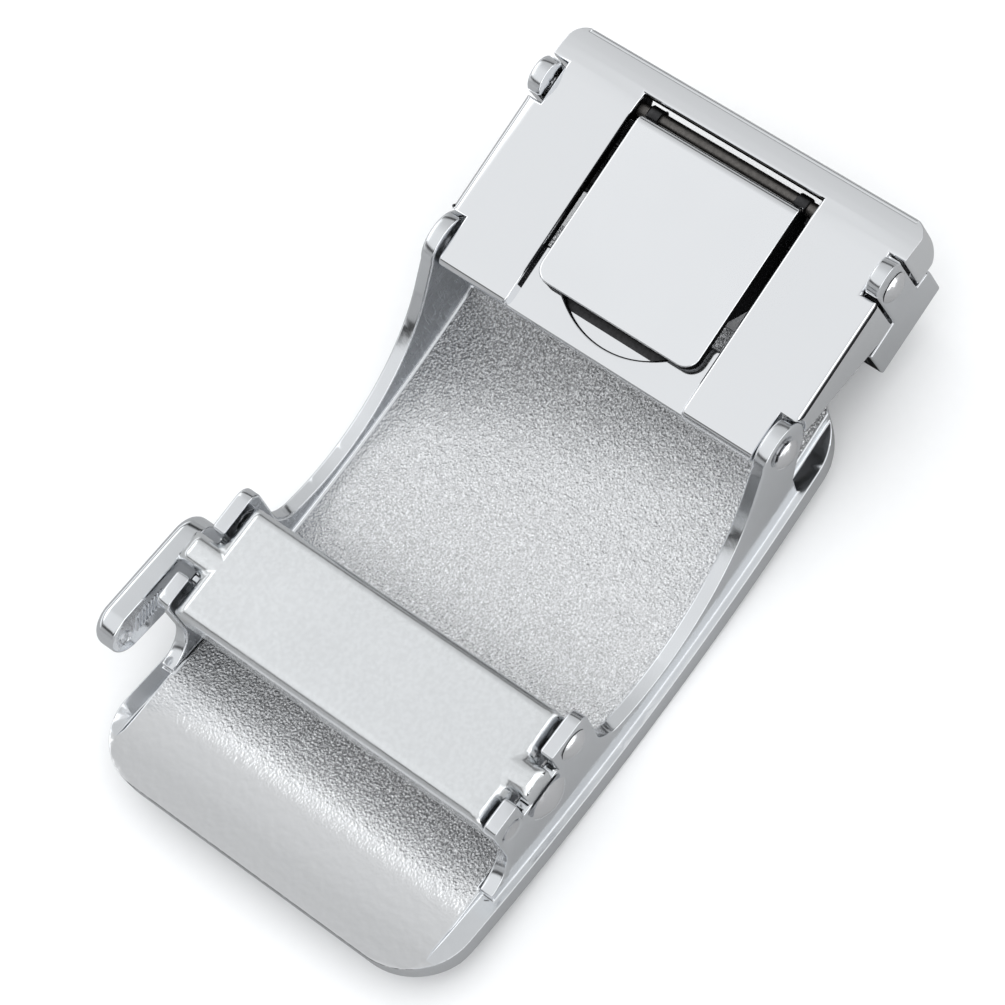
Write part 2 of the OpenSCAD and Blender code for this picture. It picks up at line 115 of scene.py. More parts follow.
class BuckleSizes(bpy.types.PropertyGroup):
    edge: bpy.props.FloatProperty(
        name="Edge", description="Rounding of the cast edges", default=0.00022,
        subtype="DISTANCE", unit="LENGTH")
    sheet_edge: bpy.props.FloatProperty(
        name="Sheet edge", description="Rounding of the clamp's sheet edges", default=0.0003,
        subtype="DISTANCE", unit="LENGTH")
    opening_edge: bpy.props.FloatProperty(
        name="Opening edge", description="Rounding of the long edges of the cover's opening",
        default=0.00034, subtype="DISTANCE", unit="LENGTH")
    flap_edge: bpy.props.FloatProperty(
        name="Flap edge", description="Rounding of the flap's upper edges", default=0.00044,
        subtype="DISTANCE", unit="LENGTH")
    bend: bpy.props.FloatProperty(
        name="Bend", description="Rounding of the bends between the cover and its flanges", default=0.0008,
        subtype="DISTANCE", unit="LENGTH")
    lug_round: bpy.props.FloatProperty(
        name="Lug rounding", description="Rounding along the tops of the lugs", default=0.0004,
        subtype="DISTANCE", unit="LENGTH")
    foot_fillet: bpy.props.FloatProperty(
        name="Foot fillet", description="Fillet between the floor and the side walls", default=0.0003,
        subtype="DISTANCE", unit="LENGTH")
    bar_round: bpy.props.FloatProperty(
        name="Bar rounding", description="Rounding along the release bar's top", default=0.0005,
        subtype="DISTANCE", unit="LENGTH")
    lever_round: bpy.props.FloatProperty(
        name="Lever rounding", description="Rounding of the lever's outer edge", default=0.0016,
        subtype="DISTANCE", unit="LENGTH")
    grip_pitch: bpy.props.FloatProperty(
        name="Grip pitch", description="Distance from one grip rib to the next", default=0.00042,
        subtype="DISTANCE", unit="LENGTH")
    grip_ribs: bpy.props.IntProperty(
        name="Grip ribs", description="Number of ribs on the lever's grip", default=9, min=3, max=14)


class BuckleFinish(bpy.types.PropertyGroup):
    cast_colour: bpy.props.FloatVectorProperty(
        name="Cast parts", description="Colour of the plating on the cast parts", size=3, subtype="COLOR",
        default=(0.80, 0.815, 0.835), min=0, max=1)
    floor_colour: bpy.props.FloatVectorProperty(
        name="Grained floor", description="Colour of the grained floor", size=3, subtype="COLOR",
        default=(0.98, 0.985, 0.995), min=0, max=1)
    # Painted shade: the inner faces of the walls are darkened for the shade they mirror.
    shaded_wall_colour: bpy.props.FloatVectorProperty(
        name="Inside of the walls", description="Colour of the drawn inner faces", size=3, subtype="COLOR",
        default=(0.48, 0.50, 0.53), min=0, max=1)
    sheet_colour: bpy.props.FloatVectorProperty(
        name="Clamp", description="Colour of the plating on the clamp", size=3, subtype="COLOR",
        default=(0.86, 0.87, 0.885), min=0, max=1)
    bar_colour: bpy.props.FloatVectorProperty(
        name="Release bar", description="Colour of the satin plating", size=3, subtype="COLOR",
        default=(0.825, 0.84, 0.85), min=0, max=1)
    # Painted shade: near-black for the gaps and the insides of the clamp and the bar.
    shade_inside_colour: bpy.props.FloatVectorProperty(
        name="Insides", description="Colour of the dark metal inside the clamp and the bar", size=3,
        subtype="COLOR", default=(0.06, 0.06, 0.062), min=0, max=1)
    # Painted shade: grey for the faces under the cover and the flap.
    shaded_underside_colour: bpy.props.FloatVectorProperty(
        name="Under the sheet", description="Colour of the dull metal under the cover and the flap", size=3,
        subtype="COLOR", default=(0.26, 0.262, 0.27), min=0, max=1)
    # Painted shade: the pin behind the flap is darkened for the shade of its gap.
    shaded_pin_colour: bpy.props.FloatVectorProperty(
        name="Flap pin", description="Colour of the bare pin behind the flap", size=3, subtype="COLOR",
        default=(0.15, 0.142, 0.135), min=0, max=1)
    rivet_colour: bpy.props.FloatVectorProperty(
        name="Rivets", description="Colour of the rivets and pins", size=3, subtype="COLOR",
        default=(0.82, 0.82, 0.83), min=0, max=1)
    grain_size: bpy.props.FloatProperty(
        name="Grain size", description="Width of one pebble of the grain", default=0.00026,
        subtype="DISTANCE", unit="LENGTH")


class StudioSettings(bpy.types.PropertyGroup):
    floor_tone: bpy.props.FloatVectorProperty(
        name="Table", description="Colour of the table", size=3, subtype="COLOR",
        default=(0.93, 0.935, 0.94), min=0, max=1)
    overhead: bpy.props.FloatProperty(
        name="Overhead", description="Brightness of the studio overhead", default=0.90, min=0)
    horizon: bpy.props.FloatProperty(
        name="Horizon", description="Brightness of the studio at the horizon", default=0.4, min=0)
    dark_band: bpy.props.FloatProperty(
        name="Dark band", description="Brightness of the studio half-way up, seen in the rounded edges",
        default=0.05, min=0)
    panel: bpy.props.FloatProperty(
        name="Panel", description="Brightness of the low panel at the side", default=1.6, min=0)
    far_panel: bpy.props.FloatProperty(
        name="Far panel", description="Brightness of the low panel at the far side", default=0.8, min=0)
    glint: bpy.props.FloatProperty(
        name="Glint", description="Brightness of the high panel that sparkles in the grain",
        default=0.9, min=0)
    lamp: bpy.props.FloatProperty(
        name="Lamp", description="Power in watts of the soft lamp over the table", default=2.1, min=0)


# Working with meshes

def alone(piece):
    """Leaves one object selected and active, in object mode."""
    if bpy.context.mode != "OBJECT":
        bpy.ops.object.mode_set(mode="OBJECT")
    bpy.ops.object.select_all(action="DESELECT")
    piece.select_set(True)
    bpy.context.view_layer.objects.active = piece
    return piece


def start(name):
    """Takes the primitive that was just added and names it."""
    piece = bpy.context.active_object
    piece.name = name
    piece.data.name = name
    return alone(piece)


def place(piece, matrix):
    """Puts a piece in its place in the frame, with the place in its mesh."""
    alone(piece)
    piece.matrix_world = matrix
    bpy.ops.object.transform_apply(location=True, rotation=True, scale=True)


def pick_faces(piece, test):
    """Selects, in edit mode, the faces whose middle and normal pass the test."""
    bpy.ops.object.mode_set(mode="OBJECT")
    for part in (piece.data.vertices, piece.data.edges):
        part.foreach_set("select", [False] * len(part))
    for face in piece.data.polygons:
        face.select = bool(test(face.center, face.normal))
    bpy.ops.object.mode_set(mode="EDIT")
    bpy.ops.mesh.select_mode(type="FACE")


def copy_of(node, name):
    """A merged copy of a solid of the frame, with its flat faces whole, ready to be finished."""
    mesh = frame["nodes"][node].data.copy()
    mesh.name = name
    mesh.materials.clear()
    piece = bpy.data.objects.new(name, mesh)
    bpy.context.scene.collection.objects.link(piece)
    alone(piece)
    bpy.ops.mesh.customdata_custom_splitnormals_clear()
    bpy.ops.object.mode_set(mode="EDIT")
    bpy.ops.mesh.select_all(action="SELECT")
    bpy.ops.mesh.remove_doubles(threshold=MERGE)
    bpy.ops.mesh.dissolve_limited(angle_limit=FLAT_TURN)
    bpy.ops.object.mode_set(mode="OBJECT")
    return piece


def cut_across(piece, test, at, way):
    """Cuts the faces that pass the test along a plane."""
    pick_faces(piece, test)
    bpy.ops.mesh.bisect(plane_co=at, plane_no=way)
    bpy.ops.object.mode_set(mode="OBJECT")


def split_sides(piece, places, way):
    """Cuts the faces that look along Y through each place, so that none of them runs round a hole."""
    for at in places:
        cut_across(piece, lambda middle, normal: abs(normal.y) > 0.99, at, way)


def even_out(shape, widths):
    """Gives edges that run on from each other the smaller of their widths, all along the run."""
    joints = []
    for vertex in shape.verts:
        pair = [edge for edge in vertex.link_edges if edge in widths]
        if len(pair) == 2:
            ways = [(edge.other_vert(vertex).co - vertex.co).normalized() for edge in pair]
            if ways[0].dot(ways[1]) < RUN_ON:
                joints.append(pair)
    uneven = True
    while uneven:
        uneven = False
        for one, two in joints:
            if abs(widths[one] - widths[two]) > SAME_WIDTH:
                widths[one] = widths[two] = min(widths[one], widths[two])
                uneven = True


def soften(piece, widest, width_at, segments=3, share=0.42, slide=False, hollows=True):
    """Rounds the sharp edges, by at most the given share of the smaller face beside each.

    width_at gives the width for an edge by its middle and its two faces' normals. Without hollows the
    inside corners stay sharp.
    """
    shape = bmesh.new()
    shape.from_mesh(piece.data)
    weight = shape.edges.layers.float.new("bevel_weight_edge")
    widths = {}
    for edge in shape.edges:
        if len(edge.link_faces) != 2 or edge.calc_face_angle(0) < SHARP_TURN:
            continue
        if not hollows and not edge.is_convex:
            continue
        one, two = edge.link_faces
        room = min(one.calc_area(), two.calc_area()) / edge.calc_length()
        if share * room < LEAST_ROUND:
            continue
        middle = (edge.verts[0].co + edge.verts[1].co) / 2
        widths[edge] = min(width_at(middle, one.normal, two.normal), share * room)
    even_out(shape, widths)
    for edge, width in widths.items():
        edge[weight] = width / widest
    shape.to_mesh(piece.data)
    shape.free()
    alone(piece)
    bevel = piece.modifiers.new("Soft edges", "BEVEL")
    bevel.limit_method = "WEIGHT"
    bevel.width = widest
    bevel.segments = segments
    bevel.use_clamp_overlap = False
    bevel.loop_slide = slide
    bpy.ops.object.modifier_apply(modifier=bevel.name)


def smooth(piece):
    """Smooth shading that keeps the flat faces flat."""
    alone(piece)
    corners = piece.modifiers.new("Faces of many corners cut up", "TRIANGULATE")
    corners.min_vertices = 5
    bpy.ops.object.modifier_apply(modifier=corners.name)
    bpy.ops.object.shade_smooth_by_angle(angle=SMOOTH_TURN)
    even = piece.modifiers.new("Flat faces stay flat", "WEIGHTED_NORMAL")
    even.keep_sharp = True
    bpy.ops.object.modifier_apply(modifier=even.name)


def coat(piece, materials, choose=None):
    """Gives the piece its materials; choose names the one for a face by its middle and normal."""
    piece.data.materials.clear()
    for material in materials:
        piece.data.materials.append(material)
    if choose:
        for face in piece.data.polygons:
            face.material_index = choose(face.center, face.normal)


def join(pieces, name):
    """Joins pieces into one."""
    alone(pieces[0])
    for piece in pieces:
        piece.select_set(True)
    bpy.ops.object.join()
    return start(name)


def settle(piece, body, nodes):
    """Makes the piece ride on its body in the place of the nodes."""
    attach(piece, body)
    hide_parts(*nodes)


# Shader groups

def new_group(name, inputs, outputs):
    """A shader group with its sockets; gives the group, its input node and its output node."""
    group = bpy.data.node_groups.new(name, "ShaderNodeTree")
    for label, kind, value in inputs:
        socket = group.interface.new_socket(name=label, in_out="INPUT", socket_type=kind)
        if value is not None:
            socket.default_value = value
    for label, kind in outputs:
        group.interface.new_socket(name=label, in_out="OUTPUT", socket_type=kind)
    return group, group.nodes.new("NodeGroupInput"), group.nodes.new("NodeGroupOutput")


def fill(tree, socket, value):
    """Gives a socket a number or a colour, or links it to the socket that gives one."""
    if isinstance(value, bpy.types.NodeSocket):
        tree.links.new(value, socket)
    elif socket.type == "RGBA":
        socket.default_value = (*value, 1.0)
    else:
        socket.default_value = value


def maths(tree, kind, first, second, clamp=False):
    """A sum of two numbers or sockets."""
    node = tree.nodes.new("ShaderNodeMath")
    node.operation = kind
    node.use_clamp = clamp
    fill(tree, node.inputs[0], first)
    fill(tree, node.inputs[1], second)
    return node.outputs[0]


def shrunk(tree, vector, size):
    """The vector divided by a size, so that a pattern of scale 1 comes out that wide."""
    node = tree.nodes.new("ShaderNodeVectorMath")
    node.operation = "SCALE"
    tree.links.new(vector, node.inputs[0])
    tree.links.new(maths(tree, "DIVIDE", 1.0, size), node.inputs["Scale"])
    return node.outputs[0]


def noise(tree, vector, scale, detail=2.0, roughness=0.5):
    """Soft noise from 0 to 1."""
    node = tree.nodes.new("ShaderNodeTexNoise")
    tree.links.new(vector, node.inputs["Vector"])
    node.inputs["Scale"].default_value = scale
    node.inputs["Detail"].default_value = detail
    node.inputs["Roughness"].default_value = roughness
    return node.outputs["Fac"]


def pebble_grain_group():
    """The sandy grain of an etched casting under its plating."""
    group, source, result = new_group(
        "Pebble grain",
        [("Vector", "NodeSocketVector", None), ("Size", "NodeSocketFloat", 0.00034)],
        [("Height", "NodeSocketFloat"), ("Shade", "NodeSocketFloat")])
    small = shrunk(group, source.outputs["Vector"], source.outputs["Size"])
    cells = group.nodes.new("ShaderNodeTexVoronoi")
    cells.feature = "SMOOTH_F1"
    cells.inputs["Scale"].default_value = 1.0
    cells.inputs["Smoothness"].default_value = 0.6
    group.links.new(small, cells.inputs["Vector"])
    rough = noise(group, small, 1.25, 3.0, 0.6)
    pebbles = maths(group, "MULTIPLY", maths(group, "SUBTRACT", 1.0, cells.outputs["Distance"]), 0.45)
    height = maths(group, "ADD", pebbles, maths(group, "MULTIPLY", rough, 0.75))
    group.links.new(height, result.inputs["Height"])
    shade = maths(group, "MULTIPLY", maths(group, "SUBTRACT", rough, 0.41), 5.0, True)
    group.links.new(shade, result.inputs["Shade"])
    return group


def plating_ripple_group():
    """The faint waves of plating over a polished casting, with a finer haze on them."""
    group, source, result = new_group(
        "Plating ripple",
        [("Vector", "NodeSocketVector", None), ("Size", "NodeSocketFloat", 0.0012)],
        [("Height", "NodeSocketFloat"), ("Haze", "NodeSocketFloat")])
    wide = shrunk(group, source.outputs["Vector"], source.outputs["Size"])
    waves = noise(group, wide, 1.0, 1.0, 0.4)
    fine = noise(group, wide, 5.0, 2.0, 0.5)
    height = maths(group, "ADD", waves, maths(group, "MULTIPLY", fine, 0.12))
    group.links.new(height, result.inputs["Height"])
    patches = noise(group, wide, 0.16, 3.0, 0.6)
    group.links.new(maths(group, "MULTIPLY", maths(group, "SUBTRACT", patches, 0.3), 2.2, True),
                    result.inputs["Haze"])
    return group


def draw_lines_group():
    """Fine lines left by polishing, along the stretched direction of the vector."""
    group, source, result = new_group(
        "Draw lines",
        [("Vector", "NodeSocketVector", None), ("Width", "NodeSocketFloat", 0.00012)],
        [("Height", "NodeSocketFloat"), ("Mask", "NodeSocketFloat")])
    small = shrunk(group, source.outputs["Vector"], source.outputs["Width"])
    lines = noise(group, small, 1.0, 3.0, 0.65)
    group.links.new(lines, result.inputs["Height"])
    group.links.new(maths(group, "MULTIPLY", maths(group, "SUBTRACT", lines, 0.52), 6.0, True),
                    result.inputs["Mask"])
    return group


def fade_group():
    """Runs smoothly from 0 to 1 as a value goes from one place to another."""
    group, source, result = new_group(
        "Fade",
        [("Value", "NodeSocketFloat", 0.0), ("From", "NodeSocketFloat", 0.0),
         ("To", "NodeSocketFloat", 1.0)],
        [("Mask", "NodeSocketFloat")])
    ramp = group.nodes.new("ShaderNodeMapRange")
    ramp.interpolation_type = "SMOOTHSTEP"
    group.links.new(source.outputs["Value"], ramp.inputs["Value"])
    group.links.new(source.outputs["From"], ramp.inputs["From Min"])
    group.links.new(source.outputs["To"], ramp.inputs["From Max"])
    group.links.new(ramp.outputs["Result"], result.inputs["Mask"])
    return group


def use(tree, group, **values):
    """Puts a shader group in a material and fills its inputs."""
    node = tree.nodes.new("ShaderNodeGroup")
    node.node_tree = group
    for label, value in values.items():
        fill(tree, node.inputs[label], value)
    return node


def metal(name, colour, roughness):
    """A plated metal with its own shader; gives the material, its shader and its Object coordinates."""
    material = bpy.data.materials.new(name)
    material.use_nodes = True
    material.diffuse_color = (*colour, 1.0)
    tree = material.node_tree
    shader = tree.nodes["Principled BSDF"]
    shader.inputs["Base Color"].default_value = (*colour, 1.0)
    shader.inputs["Metallic"].default_value = 1.0
    shader.inputs["Roughness"].default_value = roughness
    where = tree.nodes.new("ShaderNodeTexCoord").outputs["Object"]
    return material, tree, shader, where


def stretched(tree, vector, scale, turn=(0, 0, 0)):
    """The vector turned and scaled along each axis."""
    node = tree.nodes.new("ShaderNodeMapping")
    node.inputs["Scale"].default_value = scale
    node.inputs["Rotation"].default_value = turn
    tree.links.new(vector, node.inputs["Vector"])
    return node.outputs["Vector"]


def axis_of(tree, vector, axis):
    """One part of a vector, named X, Y or Z."""
    node = tree.nodes.new("ShaderNodeSeparateXYZ")
    tree.links.new(vector, node.inputs[0])
    return node.outputs[axis]


def spread(tree, mask, low, high):
    """A value from low to high as the mask goes from 0 to 1."""
    node = tree.nodes.new("ShaderNodeMapRange")
    tree.links.new(mask, node.inputs["Value"])
    node.inputs["To Min"].default_value = low
    node.inputs["To Max"].default_value = high
    return node.outputs["Result"]


def tinted(tree, mask, first, second):
    """A colour that goes from the first to the second as the mask goes from 0 to 1."""
    node = tree.nodes.new("ShaderNodeMix")
    node.data_type = "RGBA"
    fill(tree, node.inputs["Factor"], mask)
    fill(tree, node.inputs["A"], first)
    fill(tree, node.inputs["B"], second)
    return node.outputs["Result"]


def raise_bumps(tree, shader, heights):
    """Chains bumps onto the shader; each has a height, a depth in metres and a strength."""
    last = None
    for height, depth, strength in heights:
        bump = tree.nodes.new("ShaderNodeBump")
        fill(tree, bump.inputs["Distance"], depth)
        fill(tree, bump.inputs["Strength"], strength)
        fill(tree, bump.inputs["Height"], height)
        if last:
            tree.links.new(last, bump.inputs["Normal"])
        last = bump.outputs["Normal"]
    tree.links.new(last, shader.inputs["Normal"])


def toned(colour, factor):
    """A colour made darker or lighter."""
    return tuple(min(1.0, channel * factor) for channel in colour)


def groups():
    """The shader groups by their short names, each made once."""
    makers = {
        "grain": ("Pebble grain", pebble_grain_group),
        "ripple": ("Plating ripple", plating_ripple_group),
        "lines": ("Draw lines", draw_lines_group),
        "fade": ("Fade", fade_group),
    }
    return {key: bpy.data.node_groups.get(name) or make() for key, (name, make) in makers.items()}


def fade(tree, value, start, end):
    """A mask that runs smoothly from 0 to 1 between two values."""
    return use(tree, groups()["fade"], Value=value, From=start, To=end).outputs["Mask"]


def product(tree, first, *others):
    """Numbers or sockets multiplied."""
    for other in others:
        first = maths(tree, "MULTIPLY", first, other)
    return first


def vary(tree, shader, rough, roughness, shade, colour, tones):
    """Drives the roughness by one mask, and the tone of the colour by another."""
    dark, light = (toned(colour, tone) for tone in tones)
    fill(tree, shader.inputs["Roughness"], spread(tree, rough, *roughness))
    fill(tree, shader.inputs["Base Color"], tinted(tree, shade, dark, light))


# Finishes

def plated_casting(finish):
    """Polished plating over a casting, with faint waves and polishing lines."""
    material, tree, shader, where = metal("plated_casting", finish.cast_colour, 0.16)
    kit = groups()
    ripple = use(tree, kit["ripple"], Vector=where, Size=0.0011)
    lines = use(tree, kit["lines"], Vector=stretched(tree, where, (0.06, 1.0, 1.0)), Width=0.00016)
    haze = ripple.outputs["Haze"]
    vary(tree, shader, haze, (0.10, 0.20), haze, finish.cast_colour, (0.96, 1.03))
    raise_bumps(tree, shader, [
        (ripple.outputs["Height"], 0.00004, 0.35),
        (lines.outputs["Height"], 0.000006, 0.25),
    ])
    return material


def grained_floor(finish):
    """The sunk floor: grained, with deeper grain and a painted shade under the clamp and behind the bar,
    plain and grey at the rear.
    """
    material, tree, shader, where = metal("grained_floor", finish.floor_colour, 0.14)
    kit = groups()
    grain = use(tree, kit["grain"], Vector=where, Size=finish.grain_size)
    ripple = use(tree, kit["ripple"], Vector=where, Size=0.0008)
    along = axis_of(tree, where, "X")
    slant = maths(tree, "ADD", along, product(tree, axis_of(tree, where, "Y"), 0.35))
    grained = fade(tree, along, -0.0270, -0.0205)
    # Painted shade: under the clamp and behind the bar the grain's pits are darkened for the shade there;
    # the same masks also deepen the grain's bumps.
    shade_under_clamp = fade(tree, slant, 0.0125, 0.0240)
    shade_behind_bar = product(tree, fade(tree, along, -0.0250, -0.0182), fade(tree, along, -0.010, -0.014))
    shade_and_deep_grain = maths(tree, "MAXIMUM", shade_under_clamp, shade_behind_bar)
    hollows = maths(tree, "SUBTRACT", 1.0, grain.outputs["Shade"])
    pits_and_painted_shade = product(tree, hollows, spread(tree, shade_and_deep_grain, 0.37, 1.0))
    pebbled_and_shaded = tinted(tree, product(tree, pits_and_painted_shade, grained), finish.floor_colour,
                     toned(finish.floor_colour, 0.38))
    rear = fade(tree, along, -0.0215, -0.0260)
    fill(tree, shader.inputs["Roughness"], spread(tree, grain.outputs["Shade"], 0.07, 0.12))
    fill(tree, shader.inputs["Base Color"], tinted(tree, rear, pebbled_and_shaded, toned(finish.floor_colour, 0.78)))
    raise_bumps(tree, shader, [
        (ripple.outputs["Height"], 0.00008, 0.5),
        (grain.outputs["Height"], 0.00030, product(tree, grained, spread(tree, shade_and_deep_grain, 0.74, 1.0))),
    ])
    return material


def drawn_wall(finish):
    """The walls' inner faces, drawn over with fine lines, in a darkened colour that is a painted shade of
    what they mirror.
    """
    material, tree, shader, where = metal("drawn_wall", finish.shaded_wall_colour, 0.3)
    kit = groups()
    upright = use(tree, kit["lines"], Vector=stretched(tree, where, (1.0, 1.0, 0.08)), Width=0.00013)
    slanted = use(tree, kit["lines"], Vector=stretched(tree, where, (0.09, 1.0, 1.3), (0, 0.5, 0)),
                  Width=0.0002)
    grain = use(tree, kit["grain"], Vector=where, Size=0.00045)
    both = maths(tree, "MAXIMUM", upright.outputs["Mask"], slanted.outputs["Mask"])
    vary(tree, shader, both, (0.34, 0.20), both, finish.shaded_wall_colour, (0.82, 1.25))
    raise_bumps(tree, shader, [
        (grain.outputs["Height"], 0.00005, 0.5),
        (upright.outputs["Height"], 0.00003, 0.6),
        (slanted.outputs["Height"], 0.00002, 0.5),
    ])
    return material


def mirror_chrome(finish):
    """Bright chrome, with a painted lighter tone where the cover bends down towards its far end."""
    material, tree, shader, where = metal("mirror_chrome", finish.sheet_colour, 0.08)
    kit = groups()
    ripple = use(tree, kit["ripple"], Vector=where, Size=0.005)
    # Painted light: the far end, where the cover bends down, is made lighter.
    far = fade(tree, axis_of(tree, where, "X"), 0.0400, 0.0425)
    vary(tree, shader, ripple.outputs["Haze"], (0.05, 0.12), far, finish.sheet_colour, (1.0, 1.04))
    raise_bumps(tree, shader, [(ripple.outputs["Height"], 0.00004, 0.35)])
    return material


def flap_chrome(finish):
    """The flap's chrome, the palest of the plated faces."""
    material, tree, shader, where = metal("flap_chrome", toned(finish.sheet_colour, 1.04), 0.12)
    kit = groups()
    ripple = use(tree, kit["ripple"], Vector=where, Size=0.003)
    haze = ripple.outputs["Haze"]
    vary(tree, shader, haze, (0.08, 0.16), haze, finish.sheet_colour, (1.02, 1.05))
    raise_bumps(tree, shader, [(ripple.outputs["Height"], 0.00002, 0.2)])
    return material


def satin_bar(finish):
    """The bar's satin plating, with a soft orange-peel surface."""
    material, tree, shader, where = metal("satin_bar", finish.bar_colour, 0.3)
    kit = groups()
    ripple = use(tree, kit["ripple"], Vector=where, Size=0.0009)
    grain = use(tree, kit["grain"], Vector=where, Size=0.0005)
    vary(tree, shader, ripple.outputs["Haze"], (0.20, 0.28), grain.outputs["Shade"],
         finish.bar_colour, (0.975, 1.02))
    raise_bumps(tree, shader, [
        (ripple.outputs["Height"], 0.00005, 0.3),
        (grain.outputs["Height"], 0.000015, 0.3),
    ])
    return material


def lever_chrome(finish):
    """The lever's polished chrome."""
    material, tree, shader, where = metal("lever_chrome", finish.cast_colour, 0.12)
    kit = groups()
    ripple = use(tree, kit["ripple"], Vector=where, Size=0.0016)
    haze = ripple.outputs["Haze"]
    vary(tree, shader, haze, (0.08, 0.17), haze, finish.cast_colour, (0.95, 1.02))
    raise_bumps(tree, shader, [(ripple.outputs["Height"], 0.00005, 0.35)])
    return material


def dull_metal(name, colour):
    """Unpolished metal, dark at a glance too: a painted shade for the gaps, insides, undersides and the
    flap pin.
    """
    material, tree, shader, where = metal(name, colour, 0.42)
    kit = groups()
    grain = use(tree, kit["grain"], Vector=where, Size=0.0004)
    ripple = use(tree, kit["ripple"], Vector=where, Size=0.0009)
    # Painted shade: a dimmed sheen keeps these faces dark.
    shader.inputs["Specular Tint"].default_value = (0.2, 0.2, 0.2, 1.0)
    vary(tree, shader, ripple.outputs["Haze"], (0.34, 0.52), grain.outputs["Shade"], colour, (0.85, 1.1))
    raise_bumps(tree, shader, [
        (ripple.outputs["Height"], 0.00005, 0.4),
        (grain.outputs["Height"], 0.00002, 0.25),
    ])
    return material


def painted_shade_inside(finish):
    """Painted shade: near-black metal in the gaps and inside the clamp and the bar, where there is only
    shade.
    """
    return dull_metal("painted_shade_inside", finish.shade_inside_colour)


def shaded_underside(finish):
    """Painted shade: grey metal under the cover and the flap, darker than their chrome."""
    return dull_metal("shaded_underside", finish.shaded_underside_colour)


def shaded_flap_pin(finish):
    """The pin behind the flap, in dark brownish metal as a painted shade for the gap it sits in."""
    return dull_metal("shaded_flap_pin", finish.shaded_pin_colour)


def rivet_metal(finish):
    """Hammered and plated rivet heads."""
    material, tree, shader, where = metal("rivet_metal", finish.rivet_colour, 0.14)
    kit = groups()
    hammered = use(tree, kit["ripple"], Vector=where, Size=0.0007)
    grain = use(tree, kit["grain"], Vector=where, Size=0.00022)
    vary(tree, shader, grain.outputs["Shade"], (0.12, 0.24), hammered.outputs["Haze"],
         finish.rivet_colour, (0.9, 1.04))
    raise_bumps(tree, shader, [(hammered.outputs["Height"], 0.00012, 0.6)])
    return material


def pale_table(studio):
    """A pale table, with a painted shade: darker in the metal's reflections."""
    material = bpy.data.materials.new("pale_table")
    material.use_nodes = True
    tree = material.node_tree
    shader = tree.nodes["Principled BSDF"]
    where = tree.nodes.new("ShaderNodeTexCoord").outputs["Object"]
    fibre = noise(tree, where, 900.0, 3.0, 0.6)
    pale = tinted(tree, fibre, toned(studio.floor_tone, 0.985), toned(studio.floor_tone, 1.01))
    # Painted shade: glossy rays see the table at 0.42 of its tone, for the shade around the buckle that the
    # metal mirrors.
    mirrored = tree.nodes.new("ShaderNodeLightPath").outputs["Is Glossy Ray"]
    fill(tree, shader.inputs["Base Color"], tinted(tree, mirrored, pale, toned(studio.floor_tone, 0.42)))
    shader.inputs["Roughness"].default_value = 0.7
    shader.inputs["Specular IOR Level"].default_value = 0.2
    return material


# Pieces

def in_clamp(point):
    """A point in the clamp's own frame: along it, across it and up from its pivot."""
    return TO_CLAMP @ (point - CLAMP_PIVOT)


def middle_of(name):
    """The middle of a solid's box."""
    low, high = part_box(name)
    return (low + high) / 2


def rim_height(x):
    """Height of the plate's rim."""
    return BOW_RADIUS - math.sqrt(RIM_RADIUS ** 2 - (x - BOW_X) ** 2)


def ramp_height(x):
    """Height of the straight run of the floor behind the bar."""
    start_height = BOW_RADIUS - math.sqrt((RIM_RADIUS - FLOOR_RISE) ** 2 - (RAMP_START - BOW_X) ** 2)
    return start_height + (RAMP_START - x) * RAMP_SLOPE


def eased_height(x):
    """Height of the floor when it runs softly down into the rim."""
    part = min(1.0, max(0.0, 1.25 * (x - RAMP_END) / (RAMP_START - RAMP_END)))
    return rim_height(x) + FLOOR_RISE * part * part * (3 - 2 * part)


class BUCKLE_OT_plate(bpy.types.Operator):
    """Finishes the cast body: bowed plate, grained floor and the two side walls"""
    bl_idname = "buckle.plate"
    bl_label = "Cast body"

    def execute(self, context):
        sizes = context.scene.buckle_sizes
        finish = context.scene.buckle_finish
        piece = copy_of("body", "cast_body")

        self.ease_rear(piece)
        # The walls' faces are cut at their holes and along the arch between lugs and ears
        holes = [middle_of("lug_pin_left").x, middle_of("lug_rivet_left").x, BAR_PIVOT.x, CLAMP_PIVOT.x]
        arch = [step * 4 * MM for step in range(-1, 6)]
        split_sides(piece, [Vector((x, 0, 0)) for x in holes + arch], Vector((1, 0, 0)))

        def width_at(middle, one, two):
            inside = abs(middle.y) < WALL_INSIDE + 0.02 * MM
            low = middle.z < FLOOR_REACH
            if inside and low and one.z * two.z < 0.5 and max(one.z, two.z) > 0.8:
                return sizes.foot_fillet
            if middle.z > LUG_START:
                return sizes.lug_round
            return sizes.edge

        def finish_at(middle, normal):
            reach = abs(middle.y)
            if normal.z > 0.6 and reach < WALL_INSIDE - sizes.foot_fillet and middle.z < FLOOR_REACH:
                return 1
            if normal.y * middle.y < 0 and abs(normal.y) > 0.985 and reach < WALL_INSIDE + 0.1 * MM:
                return 2
            return 0

        soften(piece, sizes.lug_round, width_at)
        coat(piece, [plated_casting(finish), grained_floor(finish), drawn_wall(finish)], finish_at)
        smooth(piece)
        settle(piece, "frame", ["body"])
        return {"FINISHED"}

    def ease_rear(self, piece):
        """Lets the raised floor run out behind the bar in a soft slope, without a crease at the rim."""
        steps = 11

        def on_ramp(spot):
            return (RAMP_END - 0.1 * MM < spot.x < RAMP_START + 0.01 * MM and abs(spot.y) < FLOOR_HALF
                    and abs(spot.z - ramp_height(spot.x)) < 0.03 * MM)

        def ramp_face(middle, normal):
            return normal.z > 0.9 and on_ramp(middle)

        for index in range(1, steps):
            x = RAMP_START + (RAMP_END - RAMP_START) * index / steps
            cut_across(piece, ramp_face, (x, 0, 0), (1, 0, 0))
        for vertex in piece.data.vertices:
            if on_ramp(vertex.co):
                vertex.co.z = eased_height(vertex.co.x)


